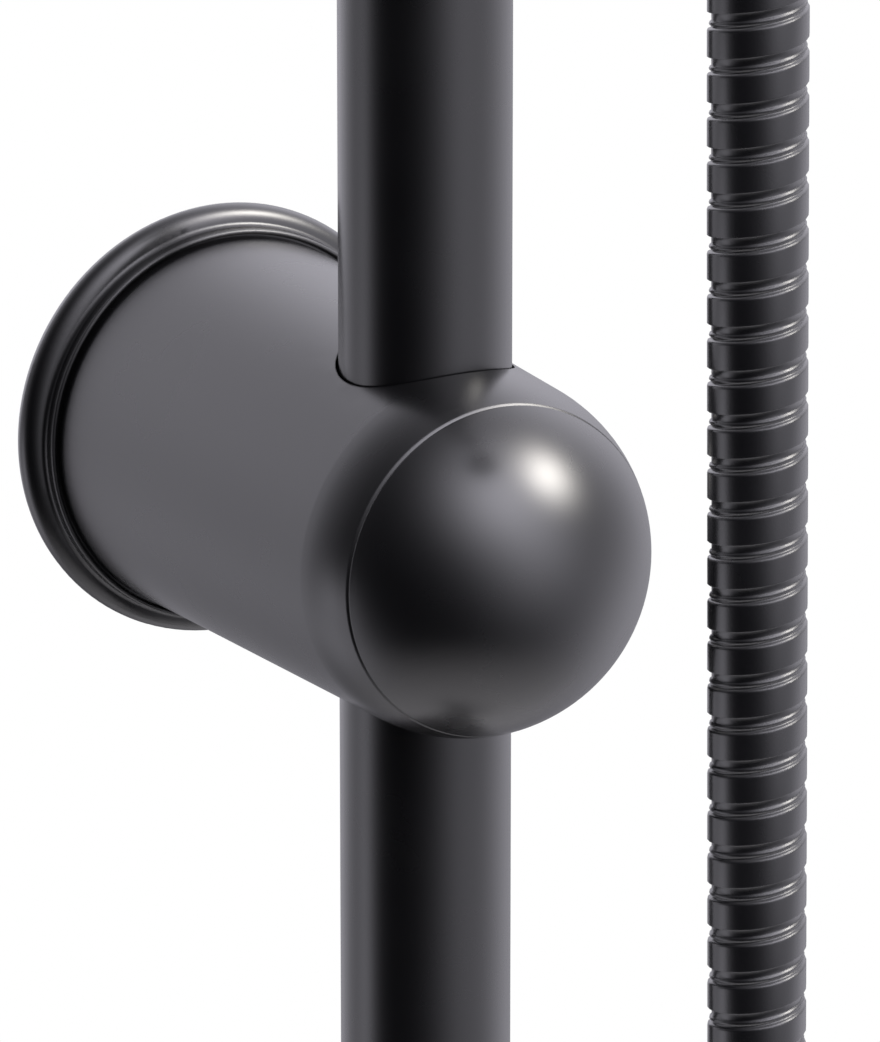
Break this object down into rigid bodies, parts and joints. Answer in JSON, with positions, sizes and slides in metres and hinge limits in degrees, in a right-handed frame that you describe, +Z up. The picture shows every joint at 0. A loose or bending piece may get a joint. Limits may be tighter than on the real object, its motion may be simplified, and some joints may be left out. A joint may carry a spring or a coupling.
{
  "type": "rain shower column",
  "caption": "Matt black rain shower column: riser on ball-ended wall brackets, overhead rain head, sliding handset holder, diverter and metal hose.",
  "frame": {"origin": "wall face of the lower bracket, on the bracket's axis", "axes": "+Z up along the riser, +Y into the wall, -Y out to the front, +X to the right seen from the front"},
  "size_m": [0.25, 0.525, 1.6532],
  "materials": {
    "matt_black": "satin powder coat",
    "hose_black": "black coated steel strip, interlocked",
    "dark_steel": "blackened steel",
    "brass": "turned",
    "nylon": "moulded",
    "rubber": "moulded",
    "silicone": "soft moulded teats"
  },
  "bodies": {
    "column": {"lower_wall_plate": "dark_steel", "lower_rosette": "matt_black", "lower_arm": "matt_black", "lower_arm_grub_screw": "dark_steel", "lower_clamp_pad": "nylon", "lower_clamp_ring": "brass", "lower_end_cap": "matt_black", "upper_wall_plate": "dark_steel", "upper_rosette": "matt_black", "upper_arm": "matt_black", "upper_arm_grub_screw": "dark_steel", "upper_clamp_pad": "nylon", "upper_clamp_ring": "brass", "upper_end_cap": "matt_black", "riser": "matt_black", "overhead_arm": "matt_black", "arm_joint_seals": "rubber", "swivel_ball": "matt_black", "hose": "hose_black", "hose_outlet_nut": "matt_black", "hose_outlet_washer": "rubber", "diverter_body": "matt_black", "diverter_cartridge": "brass", "cartridge_nut": "matt_black", "outlet_nipple": "brass", "riser_foot_seals": "rubber", "inlet_tail": "brass", "inlet_nut": "matt_black", "inlet_washer": "rubber"},
    "slider": {"slider_body": "matt_black", "slider_bush": "nylon", "cradle_friction_washer": "dark_steel"},
    "clamp_knob": {"slider_knob": "matt_black", "slider_clamp_spindle": "dark_steel"},
    "handset_cradle": {"cradle": "matt_black", "cradle_pivot_screw": "dark_steel", "handset_body": "matt_black", "handset_face": "matt_black", "handset_nozzle_mat": "silicone", "handset_washer": "rubber", "hose_cone_nut": "matt_black"},
    "diverter_handle": {"diverter_knob": "matt_black", "diverter_lever": "matt_black", "diverter_spindle": "brass"},
    "head_seat": {"swivel_seat": "rubber"},
    "rain_head": {"swivel_collar": "matt_black", "rain_head_shell": "matt_black", "rain_head_face": "matt_black", "rain_head_nozzle_mat": "silicone"}
  },
  "joints": [
    {"name": "slider_slide", "type": "slide", "parent": "column", "child": "slider", "axis": [0, 0, 1], "range_m": [-0.37, 0.15], "deforming": ["hose"]},
    {"name": "clamp_knob_turn", "type": "hinge", "parent": "slider", "child": "clamp_knob", "pos_m": [-0.03, -0.07, 0.44], "axis": [-1, 0, 0], "range_deg": [0, 90]},
    {"name": "cradle_tilt", "type": "hinge", "parent": "slider", "child": "handset_cradle", "pos_m": [0.006, -0.13, 0.44], "axis": [1, 0, 0], "range_deg": [0, 25]},
    {"name": "diverter_turn", "type": "hinge", "parent": "column", "child": "diverter_handle", "pos_m": [-0.04, -0.07, -0.43], "axis": [-1, 0, 0], "range_deg": [-90, 90]},
    {"name": "head_pitch", "type": "hinge", "parent": "column", "child": "head_seat", "pos_m": [0, -0.4, 0.832], "axis": [1, 0, 0], "range_deg": [-12, 12]},
    {"name": "head_roll", "type": "hinge", "parent": "head_seat", "child": "rain_head", "pos_m": [0, -0.4, 0.832], "axis": [0, 1, 0], "range_deg": [-12, 12]}
  ]
}
